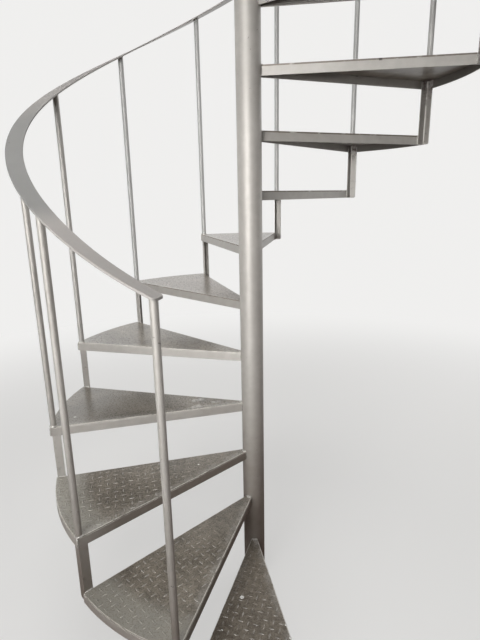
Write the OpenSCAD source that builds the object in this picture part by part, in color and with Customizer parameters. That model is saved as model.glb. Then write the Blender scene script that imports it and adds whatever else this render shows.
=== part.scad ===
// Steel spiral stair in millimetres, +Z up, standing on its foot plate.
// It climbs clockwise seen from above. The first step starts near -Y.

/* [Flight] */
// height from one tread to the next
rise = 208; // [180:1:230]
// plan angle from one tread to the next
step_angle = 28.9; // [24:0.1:30]
// plan angle of the first tread's front edge, clockwise from -Y
first_angle = -12; // [-90:1:90]
// distance from the pole axis to the outer edge of the treads
outer_r = 780; // [600:5:900]

/* [Pole] */
// outside diameter of the centre pole
pole_d = 88.9; // [76:0.1:115]
// wall of the centre pole
pole_wall = 4; // [3:0.5:6]
// height of the centre pole with foot and cap
pole_top = 3600; // [3200:10:4000]
// thickness of the foot plate and of the cap
foot_t = 10; // [8:1:20]

/* [Treads] */
// depth of a tread over its edge bars
tread_depth = 35; // [30:1:50]
// thickness of the tread plate
plate_t = 5; // [3:0.5:6]
// how far the plate's edge stands back from the bars under it
plate_inset = 1; // [0:0.5:3]
// thickness of the edge bars
bar_t = 4; // [3:0.5:6]

/* [Angles] */
// leg of the angle iron between two treads
angle_leg = 30; // [25:1:40]
// thickness of the angle iron
angle_t = 3; // [3:0.5:5]
// radius in the root of the angle iron
root_r = 3.5; // [2:0.5:5]
// radius of the angle iron's two toes
toe_r = 2; // [1:0.5:2.5]
// radius ground on the lower corner of the angle's outer leg
corner_r = 8; // [2:1:12]

/* [Railing] */
// diameter of the balusters
baluster_d = 22; // [16:1:30]
// wall of the balusters
baluster_wall = 2; // [1.5:0.5:4]
// width of the flat handrail
rail_w = 50; // [40:1:60]
// thickness of the flat handrail
rail_t = 6; // [5:0.5:10]
// height of the handrail's top over the front edge of each tread
rail_height = 1005; // [850:1:1100]
// radius of the corners at both ends of the handrail
rail_end_r = 9; // [4:1:20]
// how far the lower end of the handrail is bent up
rail_lift = 10; // [0:1:20]

/* [Hidden] */
$fn = 96;
steel = [0.60, 0.59, 0.57];
pole_r = pole_d / 2;
baluster_r = baluster_d / 2;
// the angle's outer leg stays inside the round edge bar of the tray above it
angle_x = sqrt(pow(outer_r - bar_t, 2) - pow(angle_leg, 2));
// baluster axis: flush with the outer edge and with the front edge bar
post_x = outer_r - baluster_r - 1;
post_y = bar_t - baluster_r - 1;
// middle line of the handrail, its climb per radian and its thickness measured upright
rail_mid = 769.5;
slope = rise / (step_angle * PI / 180);
rail_dz = rail_t * sqrt(1 + pow(slope / rail_mid, 2));
// the rail runs past the axis of its first and its last baluster by the same length
rail_end = 16;
rail_from = step_angle + span(-post_y - rail_end);
rail_to = 11 * step_angle + span(-post_y + rail_end);
// length over which the lower end is bent up
lift_run = 240;
reach = 2 * outer_r;

// puts a child drawn along +X onto the front edge of tread n
module at_step(n) {
  rotate([0, 0, -90 - first_angle - (n - 1) * step_angle])
    children();
}

module foot_plate() {
  color(steel)
    cylinder(r = pole_r, h = foot_t);
}

module pole() {
  color(steel)
    translate([0, 0, foot_t])
      difference() {
        cylinder(r = pole_r, h = pole_top - 2 * foot_t);
        translate([0, 0, -1]) cylinder(r = pole_r - pole_wall, h = pole_top);
      }
}

module pole_cap() {
  color(steel)
    translate([0, 0, pole_top - foot_t]) cylinder(r = pole_r, h = foot_t);
}

// wedge between the two straight edges of a tread, drawn in by a margin
// the front edge runs along +X and the rear edge is turned back by one step
module wedge(margin, height) {
  a = step_angle;
  front = bar_t - margin;
  intersection() {
    cylinder(r = outer_r - margin, h = height, $fn = 180);
    linear_extrude(height)
      polygon([[(margin - front * cos(a)) / sin(a), front], [reach, front],
        [reach * cos(a) + margin * sin(a), margin * cos(a) - reach * sin(a)]]);
  }
}

// one tray: a plate laid on flat bars that follow its two straight edges and its round outer edge
module tread(n) {
  bar_depth = tread_depth - plate_t;
  color(steel)
    at_step(n)
      translate([0, 0, n * rise - tread_depth])
        difference() {
          union() {
            wedge(0, bar_depth);
            translate([0, 0, bar_depth]) wedge(plate_inset, plate_t);
          }
          translate([0, 0, -1]) wedge(bar_t, bar_depth + 1);
          translate([0, 0, -1]) cylinder(r = pole_r, h = tread_depth + 2);
        }
}

// rolled angle section with its heel at the origin and its legs along -X and -Y
module angle_section() {
  difference() {
    union() {
      translate([-angle_leg, -angle_t]) square([angle_leg, angle_t]);
      translate([-angle_t, -angle_leg]) square([angle_t, angle_leg]);
      translate([-angle_t - root_r, -angle_t - root_r])
        difference() {
          square(root_r);
          circle(root_r);
        }
    }
    translate([-angle_leg, -angle_t]) toe_cut();
    translate([-angle_t, -angle_leg]) toe_cut();
  }
}

module toe_cut() {
  difference() {
    square(toe_r);
    translate([toe_r, toe_r]) circle(toe_r);
  }
}

// angle iron n carries tread n at its front outer corner
// it stands on the floor for tread 1 and behind the rear bar of the tread below for the others
module angle_iron(n) {
  z0 = n == 1 ? 0 : (n - 1) * rise - tread_depth;
  color(steel)
    at_step(n)
      translate([angle_x, 0, z0])
        difference() {
          linear_extrude(n * rise - plate_t - z0) angle_section();
          if (n > 1)
            translate([-angle_t - 1, corner_r - angle_leg, corner_r]) corner_cut(angle_t + 2);
        }
}

// what is ground off a lower corner, seen from inside: all outside a quarter circle round the origin
module corner_cut(width) {
  difference() {
    translate([0, -corner_r - 1, -corner_r - 1]) cube([width, corner_r + 1, corner_r + 1]);
    translate([-1, 0, 0]) rotate([0, 90, 0]) cylinder(r = corner_r, h = width + 2);
  }
}

// round tube from the tread up to the handrail, its top cut to the handrail's slope
module baluster(n) {
  s = (n - 1) * step_angle + atan(-post_y / post_x);
  top = rail_z(s) - rail_dz;
  tilt = atan((rail_z(s + 0.5) - rail_z(s - 0.5)) * span(1));
  uncut = rail_height + 2 * baluster_d;
  color(steel)
    at_step(n)
      translate([post_x, post_y, 0])
        difference() {
          translate([0, 0, n * rise]) cylinder(r = baluster_r, h = uncut);
          translate([0, 0, n * rise - 1]) cylinder(r = baluster_r - baluster_wall, h = uncut + 2);
          translate([0, 0, top - 0.1]) rotate([-tilt, 0, 0])
            translate([-50, -50, 0]) cube([100, 100, 100]);
        }
}

// plan angle spanned by a length of the handrail's middle line
function span(mm) = mm / rail_mid * 180 / PI;

// height of the handrail's top at a plan angle
function rail_z(s) =
  let (bend = max(0, 1 - (s - rail_from) / span(lift_run)))
  rise + rail_height + slope * s * PI / 180 + rail_lift * bend * bend;

// half width of the handrail, less near its two ends where the corners are rounded
function rail_half(s) =
  let (g = min(s - rail_from, rail_to - s) / span(1),
    c = max(0, rail_end_r - g))
  rail_w / 2 - rail_end_r + sqrt(max(0, rail_end_r * rail_end_r - c * c));

function rail_point(s, dr, dz) =
  let (q = -90 - first_angle - s)
  [(rail_mid + dr) * cos(q), (rail_mid + dr) * sin(q), rail_z(s) + dz];

// a length of flat bar bent round the flight, level across its width
// an angle below 0 stands for that end of the flight
module rail_length(s0, s1, steps) {
  tip = span(rail_end_r);
  a0 = s0 < 0 ? [for (k = [0 : 4]) rail_from + tip * (1 - cos(k * 18))] : [];
  a1 = s1 < 0 ? [for (k = [4 : -1 : 0]) rail_to - tip * (1 - cos(k * 18))] : [];
  b0 = s0 < 0 ? rail_from + tip : s0;
  b1 = s1 < 0 ? rail_to - tip : s1;
  run = concat(a0, [for (k = [0 : steps]) b0 + (b1 - b0) * k / steps], a1);
  n = len(run);
  pts = [for (s = run) let (h = rail_half(s))
    each [rail_point(s, -h, -rail_dz), rail_point(s, h, -rail_dz),
      rail_point(s, h, 0), rail_point(s, -h, 0)]];
  color(steel)
    polyhedron(pts, concat([[0, 1, 2], [0, 2, 3]],
      [for (i = [0 : n - 2]) for (k = [0 : 3])
        let (p = 4 * i + k, q = 4 * i + (k + 1) % 4)
        each [[p, p + 4, q + 4], [p, q + 4, q]]],
      [[4 * n - 1, 4 * n - 2, 4 * n - 3], [4 * n - 1, 4 * n - 3, 4 * n - 4]]));
}

foot_plate();
pole();
pole_cap();
tread(1);  // tread_01
tread(2);  // tread_02
tread(3);  // tread_03
tread(4);  // tread_04
tread(5);  // tread_05
tread(6);  // tread_06
tread(7);  // tread_07
tread(8);  // tread_08
tread(9);  // tread_09
tread(10);  // tread_10
tread(11);  // tread_11
tread(12);  // tread_12
angle_iron(1);  // angle_01
angle_iron(2);  // angle_02
angle_iron(3);  // angle_03
angle_iron(4);  // angle_04
angle_iron(5);  // angle_05
angle_iron(6);  // angle_06
angle_iron(7);  // angle_07
angle_iron(8);  // angle_08
angle_iron(9);  // angle_09
angle_iron(10);  // angle_10
angle_iron(11);  // angle_11
angle_iron(12);  // angle_12
baluster(2);  // baluster_02
baluster(3);  // baluster_03
baluster(4);  // baluster_04
baluster(5);  // baluster_05
baluster(6);  // baluster_06
baluster(7);  // baluster_07
baluster(8);  // baluster_08
baluster(9);  // baluster_09
baluster(10);  // baluster_10
baluster(11);  // baluster_11
baluster(12);  // baluster_12
rail_length(-1, 3 * step_angle, 20);  // handrail_1
rail_length(3 * step_angle, 5 * step_angle, 20);  // handrail_2
rail_length(5 * step_angle, 7 * step_angle, 20);  // handrail_3
rail_length(7 * step_angle, 9 * step_angle, 20);  // handrail_4
rail_length(9 * step_angle, -1, 24);  // handrail_5
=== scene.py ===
import math
import random

import bpy
from mathutils import Matrix, Vector


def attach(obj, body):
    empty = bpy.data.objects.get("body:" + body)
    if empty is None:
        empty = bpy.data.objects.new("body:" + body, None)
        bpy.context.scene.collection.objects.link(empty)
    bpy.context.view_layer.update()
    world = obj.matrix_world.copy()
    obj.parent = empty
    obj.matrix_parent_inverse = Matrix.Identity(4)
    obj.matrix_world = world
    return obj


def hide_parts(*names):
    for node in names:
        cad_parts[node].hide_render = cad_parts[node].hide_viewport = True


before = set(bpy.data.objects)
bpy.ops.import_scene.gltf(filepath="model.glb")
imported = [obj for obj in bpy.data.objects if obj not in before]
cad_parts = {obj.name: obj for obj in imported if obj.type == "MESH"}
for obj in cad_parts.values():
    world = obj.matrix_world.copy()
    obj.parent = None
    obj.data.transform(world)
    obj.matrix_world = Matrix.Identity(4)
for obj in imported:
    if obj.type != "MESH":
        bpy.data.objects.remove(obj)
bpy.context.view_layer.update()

# the stair's sizes in metres and degrees, as in part.scad
RISE = 0.208
STEP = 28.9
FIRST = -12.0
OUTER_R = 0.780
POLE_R = 0.04445
TREAD_DEPTH = 0.035
PLATE_T = 0.005
PLATE_INSET = 0.001
BAR_T = 0.004
ANGLE_LEG = 0.030
ANGLE_X = math.sqrt((OUTER_R - BAR_T) ** 2 - ANGLE_LEG ** 2)
# how far the hollow of an angle iron's root lies from its outer faces
ANGLE_ROOT = 0.0048
POST_R = 0.011
POST_X = OUTER_R - POST_R - 0.001
POST_Y = BAR_T - POST_R - 0.001
RAIL_MID = 0.7695
RAIL_W = 0.0496
RAIL_T = 0.006
RAIL_HEIGHT = 1.005
RAIL_END_R = 0.009
RAIL_END = 0.016
RAIL_LIFT = 0.010
LIFT_RUN = 0.240
SLOPE = RISE / math.radians(STEP)
RAIL_DZ = RAIL_T * math.hypot(1, SLOPE / RAIL_MID)
RAIL_FROM = math.radians(STEP) - (POST_Y + RAIL_END) / RAIL_MID
RAIL_TO = math.radians(11 * STEP) - (POST_Y - RAIL_END) / RAIL_MID
TREADS = range(1, 13)
POSTS = range(2, 13)

# checker plate: a lug every LUG_PITCH along and across the sheet, each turned a quarter from its neighbours
LUG_PITCH = 0.0279
LUG_LENGTH = 0.021
LUG_WIDTH = 0.0058
# the lugs are lower from the fourth tread up, where the photo shows hardly any relief
LUG_HEIGHT = 0.0010
LUG_HEIGHT_UPPER = 0.0003
LAST_HIGH_LUGS = 3
# where the pattern starts on a sheet, along and away from the rear edge; the trays are cut nearly alike
LUG_START = (0.0330, 0.0225)
LUG_START_SEEN = {2: (0.0340, 0.0255), 3: (0.0320, 0.0195)}
# no lug's middle lies nearer than this to the tread's outline
LUG_MARGIN = 0.010

# radii of the weld beads
TIP_BEAD = 0.0042
TIP_SECOND_BEAD = 0.0026
CORNER_BEAD = 0.0030
ANGLE_TOP_BEAD = 0.0026
POST_FOOT_BEAD = 0.0033
POST_TOP_BEAD = 0.0018
POLE_JOINT_BEAD = 0.0019
INSIDE_BEAD = 0.0024
# how deep the middle of a corner's bead lies in the front bar's face
CORNER_SUNK = 0.0006
# how far under the handrail the middle of a baluster's top bead lies
POST_TOP_DROP = 0.0006
# a bead round a tube runs a little over its own start
FULL_RING = 2 * math.pi + 0.5
# a bead's points lie about this far apart; its radius waves with a regular and a random part
BEAD_GAP = 0.0022
BEAD_RIPPLE = 0.16
BEAD_RIPPLE_TURN = 2.2
BEAD_UNEVEN = 0.14

# seeds of the random draws
BRIGHT_SEED = 7
FOOT_SEED = 11
DULL_SEED = 13
DROP_SEED = 3

# drops of pale paint: tread, distance along its front edge, distance behind it, size
PAINT_DROPS = [(1, 0.334, 0.124, 0.0085), (1, 0.455, 0.219, 0.0035), (1, 0.482, 0.000, 0.0040),
               (1, 0.533, -0.001, 0.0045), (4, 0.696, 0.064, 0.0060), (3, 0.245, 0.060, 0.0040)]


def step_turn(n):
    """Turns +X onto the front edge of tread n; the flight climbs towards -Y there."""
    return Matrix.Rotation(math.radians(-90 - FIRST - (n - 1) * STEP), 4, "Z")


def add_mesh(name, verts, faces, material, smooth=True):
    """Makes an object of that mesh, with one material."""
    mesh = bpy.data.meshes.new(name)
    mesh.from_pydata([tuple(v) for v in verts], [], faces)
    mesh.polygons.foreach_set("use_smooth", [smooth] * len(mesh.polygons))
    mesh.materials.append(material)
    mesh.update()
    piece = bpy.data.objects.new(name, mesh)
    bpy.context.scene.collection.objects.link(piece)
    return piece


def add_piece(name, verts, faces, material):
    """The same as a piece of the stair, in one of its paint slots."""
    piece = add_mesh(name, verts, faces, material)
    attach(piece, "root")
    return piece


# node arithmetic

# which output of its node holds a kind of ray, the place on the stair, the way a surface faces, a direction
RAYS = {"camera": 0, "glossy": 3, "through": 6}
OBJECT_PLACE = 3
SURFACE_FACING = 1
WORLD_DIRECTION = 0


class Shade:
    """A socket of the material or node group in hand, so that node maths reads as arithmetic."""

    def __init__(self, tree, socket):
        self.tree = tree
        self.socket = socket

    def node(self, kind, settings=None, out=0, **values):
        """Adds a node of that type; a socket is named by its label with _ for a space, or i0, i1, ..."""
        made = self.tree.nodes.new(kind)
        for key, value in (settings or {}).items():
            setattr(made, key, value)
        for key, value in values.items():
            index = int(key[1:]) if key[0] == "i" and key[1:].isdigit() else key.replace("_", " ")
            put(self.tree, value, made.inputs[index])
        return Shade(self.tree, made.outputs[out])

    def math(self, operation, *values):
        """A math node of that operation."""
        sockets = {"i%d" % k: v for k, v in enumerate(values)}
        return self.node("ShaderNodeMath", {"operation": operation}, **sockets)

    def __add__(self, other):
        return self.math("ADD", self, other)

    __radd__ = __add__

    def __sub__(self, other):
        return self.math("SUBTRACT", self, other)

    def __rsub__(self, other):
        return self.math("SUBTRACT", other, self)

    def __mul__(self, other):
        return self.math("MULTIPLY", self, other)

    __rmul__ = __mul__

    def __truediv__(self, other):
        return self.math("DIVIDE", self, other)

    def above(self, low, high):
        """0 under low, 1 over high and a soft step between."""
        return self.node("ShaderNodeMapRange", {"interpolation_type": "SMOOTHSTEP"},
                         Value=self, From_Min=low, From_Max=high)

    def below(self, low, high):
        """1 under low, 0 over high and a soft step between."""
        return 1 - self.above(low, high)

    def within(self, start, end):
        """1 between a soft step up at start and a soft step down at end, each a pair of values."""
        return self.above(*start) * self.below(*end)

    def noise(self, scale, detail=3.0, rough=0.5):
        """Cloudy noise at this place, about 0.5 in the mean."""
        return self.node("ShaderNodeTexNoise", Vector=self, Scale=scale, Detail=detail, Roughness=rough)

    def stretch(self, x, y, z):
        """This place, each axis scaled by its own factor."""
        return self.node("ShaderNodeVectorMath", {"operation": "MULTIPLY"}, i0=self, i1=(x, y, z))

    def part(self, k):
        """The x, y or z of a place or direction, for k = 0, 1 or 2."""
        return self.node("ShaderNodeSeparateXYZ", out=k, Vector=self)

    def ray(self, kind):
        """1 for that kind of ray, 0 for the others."""
        return self.node("ShaderNodeLightPath", out=RAYS[kind])

    def mix(self, a, b):
        """Colour a where this value is 0, colour b where it is 1."""
        return self.node("ShaderNodeMix", {"data_type": "RGBA"}, 2, i0=self, i6=a, i7=b)


def put(tree, value, socket):
    """Links a shader value to the socket, or sets the socket to a number or a colour."""
    if isinstance(value, Shade):
        tree.links.new(value.socket, socket)
    elif isinstance(value, tuple) and len(value) == 3 and len(socket.default_value) == 4:
        socket.default_value = (*value, 1)
    else:
        socket.default_value = value


class Paint:
    """A material being mixed: its shader, the surface's place on the stair and the way it faces."""

    def __init__(self, name):
        self.material = bpy.data.materials.new(name)
        self.material.use_nodes = True
        self.tree = self.material.node_tree
        self.shader = self.tree.nodes["Principled BSDF"]
        start = Shade(self.tree, None)
        self.place = start.node("ShaderNodeTexCoord", out=OBJECT_PLACE)
        self.facing = start.node("ShaderNodeNewGeometry", out=SURFACE_FACING)

    def bump(self, height, distance, strength=1.0):
        """A normal for relief of that height, given as a shader value from 0 to 1."""
        return height.node("ShaderNodeBump", Strength=strength, Distance=distance, Height=height)

    def finish(self, **sockets):
        """Joins values to the shader's sockets, named with _ for a space, and gives the material back."""
        for key, value in sockets.items():
            put(self.tree, value, self.shader.inputs[key.replace("_", " ")])
        return self.material


class OnStep:
    """Where a surface point lies on its own step, in metres, as shader values.

    start is how high the lowest step's own stretch begins."""

    def __init__(self, place, start=-0.5 * RISE):
        x, y, z = place.part(0), place.part(1), place.part(2)
        n = place.math("FLOOR", (z - start) / RISE)
        front = (n - 1) * math.radians(STEP) + math.radians(FIRST)
        # the top of an angle iron stands among the next one's foot, a whole step in front of it
        a_step_ahead = (y * place.math("SINE", front) - x * place.math("COSINE", front)).below(-0.11, -0.10)
        n = n - a_step_ahead
        front = front - a_step_ahead * math.radians(STEP)
        rear = front + math.radians(STEP)
        self.n = n
        self.z = z
        self.along = 0 - (x * place.math("SINE", front) + y * place.math("COSINE", front))
        self.behind_front = y * place.math("SINE", front) - x * place.math("COSINE", front)
        self.before_rear = x * place.math("COSINE", rear) - y * place.math("SINE", rear)
        self.under_top = n * RISE - z
        self.radius = place.math("SQRT", x * x + y * y)

    def steps(self, first, last):
        """1 on the steps from first to last, 0 on the others."""
        return self.n.within((first - 0.6, first - 0.4), (last + 0.4, last + 0.6))


# paints

# silver-grey paint, light and dark patches
PAINT_LIGHT = (0.474, 0.455, 0.428)
PAINT_DARK = (0.386, 0.368, 0.344)
# the same paint dulled by dust and feet on the tread plates
PLATE_LIGHT = (0.298, 0.263, 0.214)
PLATE_DARK = (0.106, 0.092, 0.073)
# clean paint with painted sheen on the outer part of the lower plates
PLATE_CLEAN_AND_SHEEN = (0.350, 0.335, 0.295)
PLATE_EVEN = (0.275, 0.226, 0.192)
# the handrail: darker than the bars as painted shade, lighter where it is held
RAIL_LIGHT = (0.252, 0.249, 0.241)
RAIL_DARK = (0.221, 0.218, 0.211)
RAIL_HELD = (0.384, 0.360, 0.343)
# the balusters at the back, tinted cooler as a painted reflection
FAR_REFLECTION_TINT = (0.450, 0.455, 0.452)
# bare or worn bright metal showing through, the worn tone also used for painted light and highlights; grime
# and dust, also used for painted shade in corners, inside the trays and towards the floor
WORN_AND_LIT = (0.56, 0.545, 0.515)
BARE = (0.67, 0.64, 0.585)
GRIME_AND_SHADE = (0.060, 0.053, 0.044)
DUST_AND_SHADE = (0.105, 0.078, 0.055)
SCORCH = (0.045, 0.024, 0.018)
PALE_PAINT = (0.80, 0.79, 0.76)
PALE_PAINT_DIM = (0.70, 0.69, 0.66)
# the undersides of the trays: patchy paint, darker in part as painted shade
UNDER_LIGHT = (0.42, 0.405, 0.36)
UNDER_DARK = (0.23, 0.215, 0.19)
# weld beads, dark and light: rubbed bright, and left dull with painted shade where they lie under things
BRIGHT_WELD = ((0.40, 0.385, 0.36), (0.64, 0.625, 0.59))
DULL_SHADED_WELD = ((0.16, 0.15, 0.135), (0.33, 0.315, 0.29))

# heights between which the looks change on the way up
DUST_AND_SHADE_BELOW = (0.30, 0.95)
POLE_GRIME_AND_SHADE_BELOW = (0.0, 0.16)
RAIL_HELD_BELOW = (1.58, 1.64)
RAIL_HELD_ABOVE = (1.88, 2.02)
PLATES_EVEN_ABOVE = (0.95, 1.25)
CUT_EDGE_ABOVE = (1.15, 1.30)
# the same for the angle irons, most with a start and an end
ANGLE_SCORCHED_ABOVE = (0.95, 1.20)
# painted light on the lower irons
ANGLE_PAINTED_LIGHT = ((0.58, 0.64), (0.80, 0.84))
# painted shade on the irons a little higher
ANGLE_PAINTED_SHADE = ((0.80, 0.84), (0.98, 1.02))
# painted light on the upper irons' faces towards the pole, less of it in the next band
ANGLE_BRIGHT = ((1.20, 1.24), (1.83, 1.85))
ANGLE_LESS_BRIGHT = ((1.42, 1.43), (1.62, 1.64))
# how far back the rear balusters start to look cooler
COOLER_BEHIND = (0.10, 0.35)
# a chip in the straight bars of one tread: the tread, and the chip's distance from the pole's axis
CHIP_TREAD = 10
CHIP_RADIUS = 0.441


def silver(place):
    """The paint's own tone: wide soft clouds and a fine mottle, darker towards the floor with dust and
    painted shade.
    """
    clouds = place.noise(3.2, 4.0).above(0.36, 0.66)
    mottle = place.noise(38.0, 3.0).above(0.30, 0.72)
    tone = (clouds * 0.6 + mottle * 0.4).mix(PAINT_DARK, PAINT_LIGHT)
    # darker towards the floor: dust and painted shade
    dust_and_shade = place.part(2).below(*DUST_AND_SHADE_BELOW) * (0.55 + 0.20 * clouds)
    return dust_and_shade.mix(tone, DUST_AND_SHADE)


def bar_paint():
    """Satin silver paint on the pole and the balusters."""
    paint = Paint("bar_paint")
    place = paint.place
    brushed_and_sheen = place.stretch(90.0, 90.0, 3.0).noise(1.0, 3.0)
    nicks = place.noise(75.0, 2.0, 0.6).above(0.735, 0.76)
    # grime and painted shade at the foot of the pole
    low = place.part(2).below(*POLE_GRIME_AND_SHADE_BELOW) * place.noise(14.0, 3.0).above(0.35, 0.7)
    # painted reflection: the rear balusters tinted cooler
    tone = (place.part(1).above(*COOLER_BEHIND) * 0.75).mix(silver(place), FAR_REFLECTION_TINT)
    # painted sheen: lighter streaks along the bars
    tone = (brushed_and_sheen.above(0.62, 0.85) * 0.15).mix(tone, WORN_AND_LIT)
    tone = (nicks * 0.55).mix(tone, GRIME_AND_SHADE)
    tone = (low * 0.5).mix(tone, GRIME_AND_SHADE)
    peel = place.noise(210.0, 2.0)
    rough = 0.47 + 0.06 * brushed_and_sheen + 0.08 * peel
    return paint.finish(Base_Color=tone, Metallic=0.36, Roughness=rough,
                        Normal=paint.bump(peel, 0.00035, 0.35))


def rail_paint():
    """The handrail's paint, darker than the bars as painted shade, and lighter where it is held."""
    paint = Paint("rail_paint")
    place = paint.place
    clouds = place.noise(5.0, 3.0).above(0.35, 0.65)
    fine = place.noise(70.0, 3.0).above(0.30, 0.70)
    # painted shade: the handrail darker than the bars
    tone = (clouds * 0.5 + fine * 0.5).mix(RAIL_DARK, RAIL_LIGHT)
    z = place.part(2)
    held = z.below(*RAIL_HELD_BELOW) * 0.85 + z.above(*RAIL_HELD_ABOVE) * 0.6
    tone = held.mix(tone, RAIL_HELD)
    knocks = place.noise(46.0, 3.0, 0.6).above(0.72, 0.76)
    tone = (knocks * 0.4).mix(tone, GRIME_AND_SHADE)
    down = (0 - paint.facing.part(2)).above(0.5, 0.9)
    tone = (down * 0.6).mix(tone, PAINT_LIGHT)
    return paint.finish(Base_Color=tone, Metallic=0.08, Roughness=0.48 + 0.1 * fine,
                        Coat_Weight=0.8 * down, Coat_Roughness=0.3,
                        Normal=paint.bump(fine, 0.0002, 0.25))


def plate_tone(place, spot):
    """Dusty paint on a plate: patches and fine dirt, dust and painted shade on the first, a clean outer
    part with painted sheen on the lower treads, a rubbed band in front, a pale smear on the fourth.
    """
    patches = place.noise(7.0, 4.0).above(0.35, 0.68)
    dirt = place.noise(45.0, 3.0, 0.6).above(0.38, 0.62)
    specks = place.noise(125.0, 2.0, 0.7).above(0.40, 0.60)
    lower = spot.steps(1, 3)
    fine = 0.12 + 0.18 * lower
    tone = (patches * (0.68 - fine) + dirt * 0.32 + specks * fine).mix(PLATE_DARK, PLATE_LIGHT)
    tone = (spot.z.above(*PLATES_EVEN_ABOVE) * 0.5).mix(tone, PLATE_EVEN)
    # dust and painted shade on the lowest tread
    tone = (spot.steps(1, 1) * 0.25).mix(tone, DUST_AND_SHADE)
    fourth = spot.steps(4, 4)
    tone = (spot.radius.above(0.25, 0.45) * fourth * 0.5).mix(tone, PLATE_DARK)
    smear = spot.radius.within((0.12, 0.16), (0.24, 0.29)) * place.noise(34.0, 3.0).above(0.46, 0.70)
    tone = (smear * fourth * 0.5).mix(tone, PALE_PAINT)
    # clean paint and painted sheen on the outer part of the lower plates
    clean_and_sheen = spot.radius.above(0.64, 0.71) * lower
    tone = (clean_and_sheen * 0.7).mix(tone, PLATE_CLEAN_AND_SHEEN)
    rubbed = spot.behind_front.below(0.004, 0.030) * place.noise(18.0, 3.0).above(0.30, 0.65)
    return (rubbed * 0.38).mix(tone, PAINT_LIGHT)


def bar_tone(place, spot, chipped):
    """A tray's bars: kick marks and painted shade in front and painted light outside on the lowest three,
    painted shade on the sixth to eighth, grime and painted shade inside, bare on the lower treads' arrises.
    """
    low = spot.steps(1, 3)
    # kick marks and painted shade on the fronts of the lowest three trays
    kicked_and_shaded = spot.behind_front.below(0.004, 0.006) * spot.radius.below(0.62, 0.76) * low
    tone = (kicked_and_shaded * (0.35 + 0.30 * chipped)).mix(silver(place), DUST_AND_SHADE)
    # painted shade on the bars of the sixth to eighth treads
    tone = (spot.steps(6, 8) * 0.15).mix(tone, GRIME_AND_SHADE)
    # painted light on the outer faces of the lowest three trays
    tone = (spot.radius.above(OUTER_R - 0.0025, OUTER_R - 0.0005) * low * 0.45).mix(tone, WORN_AND_LIT)
    cut_edge = spot.under_top.below(PLATE_T + 0.0003, PLATE_T + 0.0012) * spot.z.above(*CUT_EDGE_ABOVE)
    tone = (cut_edge * chipped.above(0.34, 0.46) * 0.75).mix(tone, DUST_AND_SHADE)
    arris = spot.under_top.below(0.0010, 0.0018) * spot.steps(1, 5)
    tone = (arris * chipped.above(0.30, 0.50) * 0.9).mix(tone, BARE)
    chip = place.math("ABSOLUTE", spot.radius - CHIP_RADIUS).below(0.004, 0.007)
    chip = chip * spot.under_top.below(0.006, 0.009) * spot.steps(CHIP_TREAD, CHIP_TREAD)
    tone = chip.mix(tone, GRIME_AND_SHADE)
    # grime and painted shade on the bars' inner faces, most on the outer bar
    inner = (OUTER_R - BAR_T + 0.001 - spot.radius).above(0.0, 0.0009)
    inner = inner * spot.behind_front.above(-0.0012, -0.0004) * spot.before_rear.above(0.0028, 0.0036)
    return (inner * (0.30 + 0.45 * spot.radius.above(0.70, 0.75))).mix(tone, GRIME_AND_SHADE)


def top_tone(place, spot, chipped):
    """A plate with its edge chipped bare."""
    edge = place.math("MINIMUM", spot.behind_front + (BAR_T - PLATE_INSET), spot.before_rear)
    edge = place.math("MINIMUM", edge, OUTER_R - spot.radius)
    rim = edge.below(0.0022, 0.0036) * chipped.above(0.34, 0.50)
    return (rim * 0.9).mix(plate_tone(place, spot), BARE)


def burnt_patch(place, spot, chipped):
    """How much a tray's underside is scorched, round the place where the angle iron was welded on."""
    near_angle = place.math("MAXIMUM", 0.052 - (spot.along - ANGLE_X) * (spot.along - ANGLE_X) * 14, 0.0)
    return spot.behind_front.below(0.020, 0.075) * near_angle.above(0.0, 0.05) * chipped.above(0.36, 0.54)


def tread_paint():
    """The trays: dull plates on top, clean bars, a dark cut edge of plate over the bars, undersides darker
    in part as painted shade.
    """
    paint = Paint("tread_paint")
    place = paint.place
    spot = OnStep(place)
    up = paint.facing.part(2).above(0.55, 0.85)
    down = (0 - paint.facing.part(2)).above(0.55, 0.85)
    chipped = place.noise(26.0, 4.0, 0.7)
    burnt = burnt_patch(place, spot, chipped)
    # patchy undersides, darker in part as painted shade
    under = place.noise(9.0, 4.0, 0.55).above(0.42, 0.62).mix(UNDER_DARK, UNDER_LIGHT)
    under = (burnt * 0.9).mix(under, SCORCH)
    tone = down.mix(up.mix(bar_tone(place, spot, chipped), top_tone(place, spot, chipped)), under)
    peel = place.noise(180.0, 3.0)
    rough = 0.40 + 0.12 * peel - 0.18 * up + 0.12 * down
    height = peel * (1 - 0.85 * (up + down))
    return paint.finish(Base_Color=tone, Metallic=0.25 - 0.13 * up, Roughness=rough,
                        Coat_Weight=0.8 * (up + down * (1 - 0.8 * burnt)), Coat_Roughness=0.32,
                        Normal=paint.bump(height, 0.0004, 0.4))


def lug_paint():
    """The raised lugs: plate paint that feet have rubbed bright, less so near the pole."""
    paint = Paint("lug_paint")
    place = paint.place
    spot = OnStep(place)
    walked = spot.radius.within((0.28, 0.40), (0.60, 0.76)) * place.noise(30.0, 2.0).above(0.34, 0.60)
    walked = walked * (0.20 + 0.80 * spot.steps(1, 3))
    tone = (walked * 0.36).mix(plate_tone(place, spot), WORN_AND_LIT)
    return paint.finish(Base_Color=tone, Metallic=0.15, Roughness=0.40 - 0.08 * walked,
                        Coat_Weight=0.6, Coat_Roughness=0.32)


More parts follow.
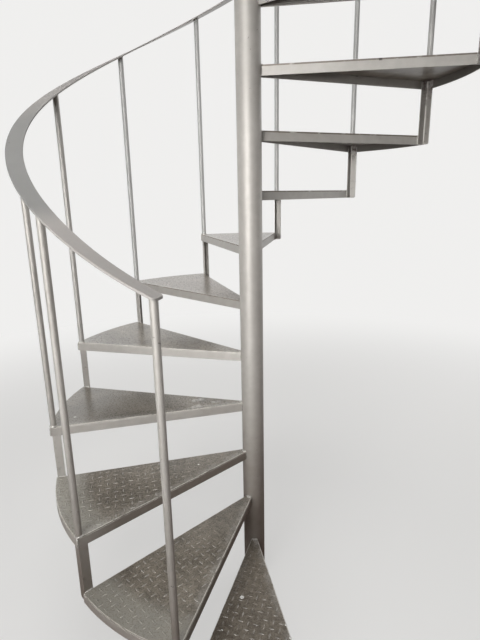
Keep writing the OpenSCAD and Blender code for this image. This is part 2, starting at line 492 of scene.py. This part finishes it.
def angle_paint():
    """The angle irons: silver paint with a painted highlight in the root, painted light and shade in bands
    and inside, scorched under the trays they carry.
    """
    paint = Paint("angle_paint")
    place = paint.place
    # each iron counts to the tread that it carries
    spot = OnStep(place, -RISE - TREAD_DEPTH + 0.001)
    off_root = place.math("MAXIMUM", place.math("ABSOLUTE", spot.along - (ANGLE_X - ANGLE_ROOT)),
                          place.math("ABSOLUTE", spot.behind_front - ANGLE_ROOT))
    # painted highlight along the hollow of the root
    rubbed = off_root.below(0.0018, 0.0026) * place.noise(30.0, 2.0).above(0.30, 0.50)
    rough_spots = place.noise(48.0, 4.0, 0.7)
    burnt = spot.under_top.below(0.036, 0.075) * rough_spots.above(0.44, 0.60)
    burnt = burnt * spot.z.above(*ANGLE_SCORCHED_ABOVE)
    depth = place.math("MINIMUM", ANGLE_X - spot.along, spot.behind_front)
    inside = depth.above(0.0020, 0.0029)
    to_pole = spot.behind_front.above(0.0035, 0.0045)
    # painted light in bands on the way up
    bright = spot.z.within(*ANGLE_BRIGHT) * (1 - 0.7 * spot.z.within(*ANGLE_LESS_BRIGHT)) * to_pole
    tone = (spot.z.within(*ANGLE_PAINTED_LIGHT) * 0.5 + bright * 0.7).mix(silver(place), WORN_AND_LIT)
    # painted shade inside the angle and in a band on the way up
    shaded = inside * (0.60 - 0.25 * to_pole) * (1 - bright) + spot.z.within(*ANGLE_PAINTED_SHADE) * 0.22
    tone = (shaded + rough_spots.above(0.56, 0.70) * 0.25).mix(tone, GRIME_AND_SHADE)
    tone = (burnt * 0.75).mix(tone, SCORCH)
    tone = (rubbed * 0.7).mix(tone, WORN_AND_LIT)
    peel = place.noise(210.0, 2.0)
    return paint.finish(Base_Color=tone, Metallic=0.28, Roughness=0.42 + 0.1 * peel,
                        Normal=paint.bump(peel, 0.0004, 0.4))


def weld_paint(name, dark, light):
    """Painted weld bead, rubbed bright, or left dull and painted darker as shade."""
    paint = Paint(name)
    ripple = paint.place.noise(240.0, 2.0)
    tone = ripple.above(0.3, 0.7).mix(dark, light)
    return paint.finish(Base_Color=tone, Metallic=0.35, Roughness=0.34 + 0.2 * ripple,
                        Normal=paint.bump(ripple, 0.0006, 0.5))


def drop_paint():
    """Dried drops of pale paint."""
    paint = Paint("drop_paint")
    tone = paint.place.noise(400.0, 2.0).above(0.3, 0.7).mix(PALE_PAINT_DIM, PALE_PAINT)
    return paint.finish(Base_Color=tone, Metallic=0.0, Roughness=0.55)


# checker plate

def lug_shape(height):
    """A lug along +X on the plane z = 0: pointed at both ends, with a soft ridge."""
    rings = [(1.0, 0.0), (0.82, 0.60), (0.50, 0.93)]
    around = 12
    verts, faces = [], []
    for size, high in rings:
        for k in range(around):
            angle = 2 * math.pi * k / around
            x = math.cos(angle) * (0.30 + 0.70 * size)
            y = math.sin(angle) * (1 - 0.35 * abs(math.cos(angle)) ** 1.5) * size
            verts.append(Vector((x * LUG_LENGTH / 2, y * LUG_WIDTH / 2, high * height)))
    verts.append(Vector((0, 0, height)))
    for j in range(len(rings) - 1):
        for k in range(around):
            a, b = j * around + k, j * around + (k + 1) % around
            faces.append((a, b, b + around, a + around))
    last = (len(rings) - 1) * around
    for k in range(around):
        faces.append((last + k, last + (k + 1) % around, len(verts) - 1))
    return verts, faces


def on_plate(x, y, margin):
    """True where a point of a tread, its front edge along +X, lies that far inside the outline."""
    step = math.radians(STEP)
    before_rear = y * math.cos(step) + x * math.sin(step)
    radius = math.hypot(x, y)
    inside = y < BAR_T - PLATE_INSET - margin and before_rear > margin
    return inside and POLE_R + margin < radius < OUTER_R - margin


def lugs(n, material):
    """The raised pattern of tread n, laid square to the sheet's edge, which is the tread's rear edge."""
    shape, shape_faces = lug_shape(LUG_HEIGHT if n <= LAST_HIGH_LUGS else LUG_HEIGHT_UPPER)
    start_x, start_y = LUG_START_SEEN.get(n, LUG_START)
    verts, faces = [], []
    reach = int(OUTER_R / LUG_PITCH) + 2
    sheet_turn = Matrix.Rotation(math.radians(-STEP), 4, "Z")
    for i in range(-1, reach):
        for j in range(-1, reach):
            spot = sheet_turn @ Vector((start_x + i * LUG_PITCH, start_y + j * LUG_PITCH, 0))
            if not on_plate(spot.x, spot.y, LUG_MARGIN):
                continue
            quarter = Matrix.Rotation(math.pi / 2 if (i + j) % 2 else 0, 4, "Z")
            lay = step_turn(n) @ Matrix.Translation((spot.x, spot.y, n * RISE)) @ sheet_turn @ quarter
            base = len(verts)
            verts += [lay @ v for v in shape]
            faces += [tuple(base + k for k in f) for f in shape_faces]
    add_piece("lugs_%02d" % n, verts, faces, material)


# welds and drops

def straight(a, b):
    """Points of a bead from a to b."""
    count = max(3, round((b - a).length / BEAD_GAP))
    return [a.lerp(b, k / count) for k in range(count + 1)]


def ring(centre, radius, start, end, rise=0.0):
    """Points on an arc round the vertical through centre; rise is its climb per metre towards -Y."""
    count = max(4, round(abs(end - start) * radius / BEAD_GAP))
    points = []
    for k in range(count + 1):
        angle = start + (end - start) * k / count
        x, y = radius * math.cos(angle), radius * math.sin(angle)
        points.append(centre + Vector((x, y, -y * rise)))
    return points


def bead(path, radius, dice):
    """A rippled tube along the path, drawn in at both ends: a weld bead half sunk in what it joins."""
    sides = 7
    verts, faces = [], []
    side = None
    for i, point in enumerate(path):
        ahead = (path[min(i + 1, len(path) - 1)] - path[max(i - 1, 0)]).normalized()
        side = ahead.orthogonal() if side is None else side - ahead * side.dot(ahead)
        side = side.normalized()
        other = ahead.cross(side)
        to_end = min(i, len(path) - 1 - i)
        ripple = 1 + BEAD_RIPPLE * math.sin(BEAD_RIPPLE_TURN * i) + dice.uniform(-BEAD_UNEVEN, BEAD_UNEVEN)
        swell = radius * min(1.0, 0.4 + 0.3 * to_end) * ripple
        for k in range(sides):
            angle = 2 * math.pi * k / sides
            verts.append(point + (side * math.cos(angle) + other * math.sin(angle)) * swell)
    for i in range(len(path) - 1):
        for k in range(sides):
            a, b = i * sides + k, i * sides + (k + 1) % sides
            faces.append((a, b, b + sides, a + sides))
    faces.append(tuple(reversed(range(sides))))
    faces.append(tuple(range(len(verts) - sides, len(verts))))
    return verts, faces


def add_beads(name, seed, runs, material):
    """One piece of weld beads; each run is the number of its step, a path and the bead's radius."""
    dice = random.Random(seed)
    verts, faces = [], []
    for n, path, radius in runs:
        points, shape = bead(path, radius, dice)
        base = len(verts)
        verts += [step_turn(n) @ p for p in points]
        faces += [tuple(base + k for k in f) for f in shape]
    add_piece(name, verts, faces, material)


def bright_welds(material):
    """Beads that feet and hands have rubbed bright: tips at the pole, tray corners and the angles' feet."""
    corner_x = math.sqrt(OUTER_R ** 2 - BAR_T ** 2)
    toe_x = ANGLE_X - ANGLE_LEG
    front_y = BAR_T - CORNER_SUNK
    top_y = 0.3 * BAR_T
    runs = []
    for n in TREADS:
        top = n * RISE
        tip = ring(Vector((0, 0, top)), POLE_R + 0.002, math.radians(3 - STEP), math.radians(3))
        second = ring(Vector((0, 0, top)), POLE_R + 0.007, math.radians(8 - STEP), 0)
        corner = straight(Vector((corner_x, front_y, top - TREAD_DEPTH + 0.002)),
                          Vector((corner_x - 0.001, front_y, top - 0.0005)))
        cap = straight(Vector((corner_x - 0.024, top_y, top)), Vector((corner_x - 0.002, top_y, top)))
        runs += [(n, tip, TIP_BEAD), (n, second, TIP_SECOND_BEAD)]
        runs += [(n, corner, CORNER_BEAD), (n, cap, CORNER_BEAD)]
        if n > 1:
            low = (n - 1) * RISE
            tray_side = straight(Vector((toe_x - 0.001, -0.0008, low - TREAD_DEPTH + 0.002)),
                                 Vector((toe_x - 0.001, -0.0008, low - 0.001)))
            on_top = straight(Vector((toe_x, top_y, low)), Vector((ANGLE_X - 0.002, top_y, low)))
            runs += [(n, tray_side, CORNER_BEAD), (n, on_top, ANGLE_TOP_BEAD)]
    add_beads("welds_bright", BRIGHT_SEED, runs, material)


def foot_welds(material):
    """The lumpy ring round each baluster's foot."""
    runs = []
    for n in POSTS:
        foot = ring(Vector((POST_X, POST_Y, n * RISE + 0.0004)), POST_R + 0.0004, 0, FULL_RING)
        runs.append((n, foot, POST_FOOT_BEAD))
    add_beads("welds_feet", FOOT_SEED, runs, material)


def dull_shaded_welds(material):
    """Beads out of reach, dull and painted darker as shade: the angles under and inside the trays, pole
    joints of the bars, baluster tops.
    """
    toe_x = ANGLE_X - ANGLE_LEG
    runs = []
    for n in TREADS:
        low, high = n * RISE - TREAD_DEPTH + 0.001, n * RISE - PLATE_T
        heel = straight(Vector((ANGLE_X - 0.009, -0.0045, low - 0.004)),
                        Vector((ANGLE_X - 0.0045, -0.009, low - 0.005)))
        runs.append((n, heel, CORNER_BEAD))
        for y, back in ((BAR_T, 0.0), (0.0, -STEP)):
            turn = Matrix.Rotation(math.radians(back), 4, "Z")
            x = math.sqrt(POLE_R ** 2 - y ** 2)
            joint = [turn @ p for p in straight(Vector((x, y, low)), Vector((x, y, high)))]
            runs.append((n, joint, POLE_JOINT_BEAD))
        inside = straight(Vector((toe_x, -0.0005, high - 0.028)), Vector((toe_x, -0.0005, high - 0.001)))
        runs.append((n, inside, INSIDE_BEAD))
    for n in POSTS:
        turned = math.radians((n - 1) * STEP) + math.atan2(-POST_Y, POST_X)
        tilt = (rail_z(turned + 0.01) - rail_z(turned - 0.01)) / (0.02 * RAIL_MID)
        under_rail = Vector((POST_X, POST_Y, rail_z(turned) - RAIL_DZ - POST_TOP_DROP))
        runs.append((n, ring(under_rail, POST_R, 0, FULL_RING, tilt), POST_TOP_BEAD))
    add_beads("welds_dull_shaded", DULL_SEED, runs, material)


def drops(material):
    """A few flat dried drops with ragged outlines."""
    dice = random.Random(DROP_SEED)
    around = 14
    verts, faces = [], []
    for n, along, behind, size in PAINT_DROPS:
        base = len(verts)
        for shrink, high in ((1.0, 0.0), (0.75, 0.0007)):
            ragged = [dice.uniform(0.75, 1.1) for _ in range(around)]
            for k in range(around):
                angle = 2 * math.pi * k / around
                radius = size * shrink * ragged[k]
                x, y = along + radius * math.cos(angle), radius * math.sin(angle) - behind
                verts.append(step_turn(n) @ Vector((x, y, n * RISE + high + 0.0001)))
        faces += [(base + k, base + (k + 1) % around, base + around + (k + 1) % around, base + around + k)
                  for k in range(around)]
        faces.append(tuple(base + around + k for k in range(around)))
    add_piece("paint_drops", verts, faces, material)


# handrail

def rail_section(half):
    """Outline of the flat bar across its width, corners eased; half is its half width there."""
    ease = min(0.0012, half * 0.4)
    corners = [(half - ease, -ease, 0), (ease - half, -ease, 90),
               (ease - half, ease - RAIL_DZ, 180), (half - ease, ease - RAIL_DZ, 270)]
    outline = []
    for middle_x, middle_z, first in corners:
        for k in range(3):
            angle = math.radians(first + 45 * k)
            outline.append((middle_x + ease * math.cos(angle), middle_z + ease * math.sin(angle)))
    return outline


def rail_z(turned):
    """Height of the rail's top at a plan angle; its lower end is bent up a little."""
    bend = max(0.0, 1 - (turned - RAIL_FROM) * RAIL_MID / LIFT_RUN)
    return RISE + RAIL_HEIGHT + SLOPE * turned + RAIL_LIFT * bend * bend


def rail_half(turned):
    """Half width of the rail, less near its two ends where the corners are rounded."""
    corner = max(0.0, RAIL_END_R - min(turned - RAIL_FROM, RAIL_TO - turned) * RAIL_MID)
    return RAIL_W / 2 - RAIL_END_R + math.sqrt(max(0.0, RAIL_END_R ** 2 - corner ** 2))


def handrail(material):
    """One flat bar bent round the flight, cut square at both ends, in place of the solids' five lengths."""
    round_end = RAIL_END_R / RAIL_MID
    tips = [round_end * (1 - math.cos(math.radians(10 * k))) for k in range(9)]
    count = 380
    run = RAIL_TO - RAIL_FROM - 2 * round_end
    middle = [RAIL_FROM + round_end + run * k / count for k in range(count + 1)]
    turns = [RAIL_FROM + tip for tip in tips] + middle + [RAIL_TO - tip for tip in reversed(tips)]
    verts, faces = [], []
    for turned in turns:
        angle = math.radians(-90 - FIRST) - turned
        outline = rail_section(rail_half(turned))
        for across, high in outline:
            radius = RAIL_MID + across
            x, y = radius * math.cos(angle), radius * math.sin(angle)
            verts.append(Vector((x, y, rail_z(turned) + high)))
    sides = len(outline)
    for i in range(len(turns) - 1):
        for k in range(sides):
            a, b = i * sides + k, i * sides + (k + 1) % sides
            faces.append((a, a + sides, b + sides, b))
    faces.append(tuple(range(sides)))
    faces.append(tuple(reversed(range(len(verts) - sides, len(verts)))))
    piece = add_piece("handrail", verts, faces, material)
    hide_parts("handrail_1", "handrail_2", "handrail_3", "handrail_4", "handrail_5")
    crease = piece.modifiers.new("crease", "NODES")
    crease.node_group = even_shading(RAIL_CREASE)


# the CAD pieces

# meshes are creased where they turn by more than this, in degrees
RAIL_CREASE = 12
CAD_CREASE = 30
# corners that lie this close are one, and sharper edges than the given angle are eased by this width
JOIN_WITHIN = 0.00002
EASE_WIDTH = 0.0006
EASE_ABOVE = 35


def even_shading(limit):
    """Geometry nodes that shade a mesh smooth, creased only where it turns by more than limit degrees."""
    name = "even_shading_%d" % limit
    group = bpy.data.node_groups.get(name)
    if group:
        return group
    group = bpy.data.node_groups.new(name, "GeometryNodeTree")
    group.interface.new_socket("Mesh", in_out="INPUT", socket_type="NodeSocketGeometry")
    group.interface.new_socket("Mesh", in_out="OUTPUT", socket_type="NodeSocketGeometry")
    start = Shade(group, None)
    turn = start.node("GeometryNodeInputMeshEdgeAngle")
    sharp = start.node("FunctionNodeCompare", {"operation": "GREATER_THAN"},
                       i0=turn, i1=math.radians(limit))
    shaded = start.node("GeometryNodeSetMeshNormal", {"mode": "SHARPNESS"},
                        Mesh=start.node("NodeGroupInput"), Remove_Custom=True, Edge_Sharpness=sharp)
    end = group.nodes.new("NodeGroupOutput")
    put(group, shaded, end.inputs["Mesh"])
    return group


def dress_cad(paints):
    """Gives the CAD pieces their paint, even shading and slightly eased edges."""
    for name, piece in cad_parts.items():
        paint = paints.get(name.split("_")[0], paints["bar"])
        if not piece.material_slots:
            piece.data.materials.append(paint)
        for held in piece.material_slots:
            held.material = paint
        join = piece.modifiers.new("join", "WELD")
        join.merge_threshold = JOIN_WITHIN
        crease = piece.modifiers.new("crease", "NODES")
        crease.node_group = even_shading(CAD_CREASE)
        ease = piece.modifiers.new("ease", "BEVEL")
        ease.width = EASE_WIDTH
        ease.segments = 2
        ease.limit_method = "ANGLE"
        ease.angle_limit = math.radians(EASE_ABOVE)
        ease.harden_normals = True


# camera, light and floor

# the photograph's camera, from a fit of the stair's edges: focal length in pixels of a 640 pixel height
FOCAL_PX = 474.8
HEIGHT_PX = 640
PITCH_DOWN, YAW_LEFT, ROLL_LEFT = 14.605, 0.931, 1.117
EYE = (-0.0160, -1.7962, 1.6456)
SENSOR_MM = 24.0

# lamps: place, aim, size, watts, spread in degrees, colour
LAMPS = {
    "key": ((-1.1, -2.9, 3.4), (0, 0, 1.9), (1.6, 1.6), 8, 90, (1.0, 0.995, 0.985)),
    "front": ((-1.5, -3.7, 1.70), (0, 0, 1.38), (2.4, 1.3), 20, 55, (1.0, 0.995, 0.985)),
    "top": ((-0.2, -0.8, 5.4), (0, 0, 1.2), (2.6, 2.6), 56, 130, (1.0, 1.0, 1.0)),
    "fill_right": ((3.2, 2.6, 2.2), (0, 0, 1.6), (3.0, 2.4), 18, 130, (1.0, 1.0, 1.0)),
    "fill_left": ((-3.0, 3.0, 2.4), (0, 0, 1.6), (3.0, 2.4), 4, 130, (1.0, 1.0, 1.0)),
}

FLOOR_HALF = 12.0
# how much of its paleness the floor keeps in gloss near the stair
FLOOR_GLOSS = 0.12
SURROUND = (0.870, 0.865, 0.855)
FLOOR_PALE = (0.80, 0.79, 0.77)
FLOOR_BOUNCE = (0.17, 0.145, 0.120)
NEAR_BOUNCE = (0.24, 0.130, 0.095)
# what gloss shows of the surround in front of the stair, on its left and on its right
LEFT_SIDE = (0.22, 0.215, 0.21)
RIGHT_SIDE = (0.17, 0.162, 0.153)
# the even light that surfaces get from the left and from the right
LEFT_AMBIENT = (0.148, 0.148, 0.148)
RIGHT_AMBIENT = (0.128, 0.126, 0.122)


def camera():
    """The photograph's view."""
    pitch, yaw, roll = math.radians(-PITCH_DOWN), math.radians(-YAW_LEFT), math.radians(-ROLL_LEFT)
    ahead = Vector((math.sin(yaw) * math.cos(pitch), math.cos(yaw) * math.cos(pitch), math.sin(pitch)))
    right = Vector((math.cos(yaw), -math.sin(yaw), 0))
    up = right.cross(ahead)
    rolled_right = right * math.cos(roll) + up * math.sin(roll)
    rolled_up = up * math.cos(roll) - right * math.sin(roll)
    lens = bpy.data.cameras.new("camera")
    lens.sensor_fit = "VERTICAL"
    lens.sensor_height = SENSOR_MM
    lens.lens = FOCAL_PX * SENSOR_MM / HEIGHT_PX
    lens.clip_start = 0.05
    eye = bpy.data.objects.new("camera", lens)
    turn = Matrix((rolled_right, rolled_up, -ahead)).transposed().to_4x4()
    eye.matrix_world = Matrix.Translation(EYE) @ turn
    bpy.context.scene.collection.objects.link(eye)
    bpy.context.scene.camera = eye


def area_light(name, place, target, size, watts, spread, colour):
    """A soft lamp that aims at its target."""
    light = bpy.data.lights.new(name, "AREA")
    light.shape = "RECTANGLE"
    light.size, light.size_y = size
    light.energy = watts
    light.color = colour
    light.spread = math.radians(spread)
    lamp = bpy.data.objects.new(name, light)
    aim = (Vector(target) - Vector(place)).to_track_quat("-Z", "Y").to_matrix().to_4x4()
    lamp.matrix_world = Matrix.Translation(place) @ aim
    bpy.context.scene.collection.objects.link(lamp)


def shown(start, glossy_share):
    """1 for what the camera sees, that share for what gloss shows, 0 for the light that surfaces get."""
    seen = start.math("MAXIMUM", start.ray("camera"), start.ray("through"))
    return start.math("MAXIMUM", seen, start.ray("glossy") * glossy_share)


def floor_paint():
    """Pale floor that keeps shadows near the stair, fades into the surround further out and, behind the
    stair, is pale to gloss too."""
    paint = Paint("floor")
    place = paint.place
    x, y = place.part(0), place.part(1)
    out = place.math("SQRT", x * x + y * y)
    bounce = out.below(1.0, 2.5).mix(FLOOR_BOUNCE, NEAR_BOUNCE)
    paint.finish(Base_Color=shown(place, FLOOR_GLOSS).mix(bounce, FLOOR_PALE), Roughness=0.9)
    faded = (0.58 + 0.42 * out.above(1.6, 5.0)) * place.ray("camera")
    behind = y.above(0.7, 1.7) * place.ray("glossy")
    painted = Shade(paint.tree, paint.shader.outputs[0])
    glow = place.node("ShaderNodeEmission", Color=SURROUND, Strength=1.0)
    surface = place.node("ShaderNodeMixShader", i0=faded + behind, i1=painted, i2=glow)
    put(paint.tree, surface, paint.tree.nodes["Material Output"].inputs[0])
    return paint.material


def studio():
    """A pale floor, soft lamps and a pale surround."""
    corners = [(FLOOR_HALF * x, FLOOR_HALF * y, 0) for x, y in ((-1, -1), (1, -1), (1, 1), (-1, 1))]
    floor = add_mesh("floor", corners, [(0, 1, 2, 3)], floor_paint(), False)
    world = bpy.data.worlds.new("surround")
    bpy.context.scene.world = world
    world.use_nodes = True
    tree = world.node_tree
    start = Shade(tree, None)
    way = start.node("ShaderNodeTexCoord", out=WORLD_DIRECTION)
    to_right = way.part(0).above(-0.5, 0.6)
    backdrop = way.part(1).above(-0.15, 0.30) * way.part(2).below(0.35, 0.75)
    backdrop = start.math("MAXIMUM", backdrop, start.ray("camera"))
    surround = backdrop.mix(to_right.mix(LEFT_SIDE, RIGHT_SIDE), SURROUND)
    ambient = to_right.mix(LEFT_AMBIENT, RIGHT_AMBIENT)
    put(tree, shown(start, 1.0).mix(ambient, surround), tree.nodes["Background"].inputs["Color"])
    for name, values in LAMPS.items():
        area_light(name, *values)


paints = {
    "bar": bar_paint(),
    "rail": rail_paint(),
    "angle": angle_paint(),
    "tread": tread_paint(),
    "lug": lug_paint(),
    "bright": weld_paint("weld_bright", *BRIGHT_WELD),
    "dull": weld_paint("weld_dull_shaded", *DULL_SHADED_WELD),
    "drop": drop_paint(),
}
dress_cad(paints)
handrail(paints["rail"])
for n in TREADS:
    lugs(n, paints["lug"])
bright_welds(paints["bright"])
foot_welds(paints["bright"])
dull_shaded_welds(paints["dull"])
drops(paints["drop"])
camera()
studio()
bpy.context.scene.view_settings.view_transform = "Standard"
